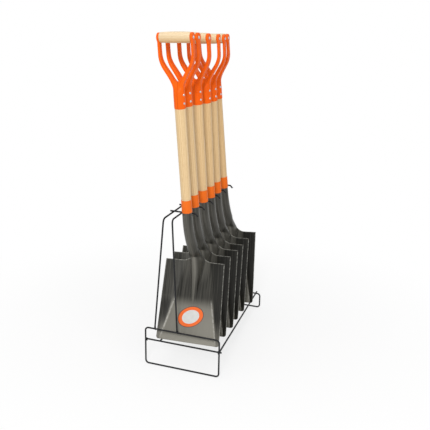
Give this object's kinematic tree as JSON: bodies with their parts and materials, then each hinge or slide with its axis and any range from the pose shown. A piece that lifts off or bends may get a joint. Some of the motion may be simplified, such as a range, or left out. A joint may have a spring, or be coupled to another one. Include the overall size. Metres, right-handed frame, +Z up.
{
  "type": "freestanding garden tool rack",
  "caption": "Bent-wire floor rack with a row of D-handled square shovels, each held by its blade tip on two rails and by its neck against a wire finger, and drawn out sideways.",
  "frame": {"origin": "on the floor, at the middle of the rack's footprint: midway between the front and rear loops and midway between the front loop's sides", "axes": "+Z up, +X to the viewer's right when facing the front loop (the side that the shovels are drawn out to), +Y from the front loop to the rear loop"},
  "size_m": [0.294, 0.61, 1.1938],
  "materials": {
    "rack_wire": "satin black powder coat",
    "blade_steel": "dark grey hammered lacquer over pressed steel",
    "orange_paint": "gloss orange paint",
    "shaft_wood": "clear varnished pale wood",
    "grip_wood": "clear varnished pale wood",
    "rivet_steel": "plain zinc"
  },
  "bodies": {
    "rack": {"front_loop": "rack_wire", "front_cross_wire": "rack_wire", "rear_loop": "rack_wire", "base_rail_right": "rack_wire", "base_rail_left": "rack_wire", "upright_rail_left": "rack_wire", "upright_rail_right": "rack_wire", "neck_finger_1": "rack_wire", "neck_finger_2": "rack_wire", "neck_finger_3": "rack_wire", "neck_finger_4": "rack_wire", "neck_finger_5": "rack_wire", "neck_finger_6": "rack_wire", "weld_beads": "rack_wire"},
    "shovel_1": {"shovel_1_blade": "blade_steel", "shovel_1_ferrule": "orange_paint", "shovel_1_shaft": "shaft_wood", "shovel_1_yoke": "orange_paint", "shovel_1_grip": "grip_wood", "shovel_1_grip_pin": "rivet_steel", "shovel_1_yoke_rivets": "rivet_steel"},
    "shovel_2": {"shovel_2_blade": "blade_steel", "shovel_2_ferrule": "orange_paint", "shovel_2_shaft": "shaft_wood", "shovel_2_yoke": "orange_paint", "shovel_2_grip": "grip_wood", "shovel_2_grip_pin": "rivet_steel", "shovel_2_yoke_rivets": "rivet_steel"},
    "shovel_3": {"shovel_3_blade": "blade_steel", "shovel_3_ferrule": "orange_paint", "shovel_3_shaft": "shaft_wood", "shovel_3_yoke": "orange_paint", "shovel_3_grip": "grip_wood", "shovel_3_grip_pin": "rivet_steel", "shovel_3_yoke_rivets": "rivet_steel"},
    "shovel_4": {"shovel_4_blade": "blade_steel", "shovel_4_ferrule": "orange_paint", "shovel_4_shaft": "shaft_wood", "shovel_4_yoke": "orange_paint", "shovel_4_grip": "grip_wood", "shovel_4_grip_pin": "rivet_steel", "shovel_4_yoke_rivets": "rivet_steel"},
    "shovel_5": {"shovel_5_blade": "blade_steel", "shovel_5_ferrule": "orange_paint", "shovel_5_shaft": "shaft_wood", "shovel_5_yoke": "orange_paint", "shovel_5_grip": "grip_wood", "shovel_5_grip_pin": "rivet_steel", "shovel_5_yoke_rivets": "rivet_steel"},
    "shovel_6": {"shovel_6_blade": "blade_steel", "shovel_6_ferrule": "orange_paint", "shovel_6_shaft": "shaft_wood", "shovel_6_yoke": "orange_paint", "shovel_6_grip": "grip_wood", "shovel_6_grip_pin": "rivet_steel", "shovel_6_yoke_rivets": "rivet_steel"}
  },
  "joints": [
    {"name": "shovel_1_draw", "type": "slide", "parent": "rack", "child": "shovel_1", "axis": [0.9991, 0, 0.0419], "range_m": [0, 0.26]},
    {"name": "shovel_2_draw", "type": "slide", "parent": "rack", "child": "shovel_2", "axis": [0.9987, 0, 0.0506], "range_m": [0, 0.26]},
    {"name": "shovel_3_draw", "type": "slide", "parent": "rack", "child": "shovel_3", "axis": [0.999, 0, 0.0454], "range_m": [0, 0.26]},
    {"name": "shovel_4_draw", "type": "slide", "parent": "rack", "child": "shovel_4", "axis": [0.9994, 0, 0.0349], "range_m": [0, 0.26]},
    {"name": "shovel_5_draw", "type": "slide", "parent": "rack", "child": "shovel_5", "axis": [0.9991, 0, 0.0419], "range_m": [0, 0.26]},
    {"name": "shovel_6_draw", "type": "slide", "parent": "rack", "child": "shovel_6", "axis": [0.9978, 0, 0.0663], "range_m": [0, 0.26]}
  ]
}
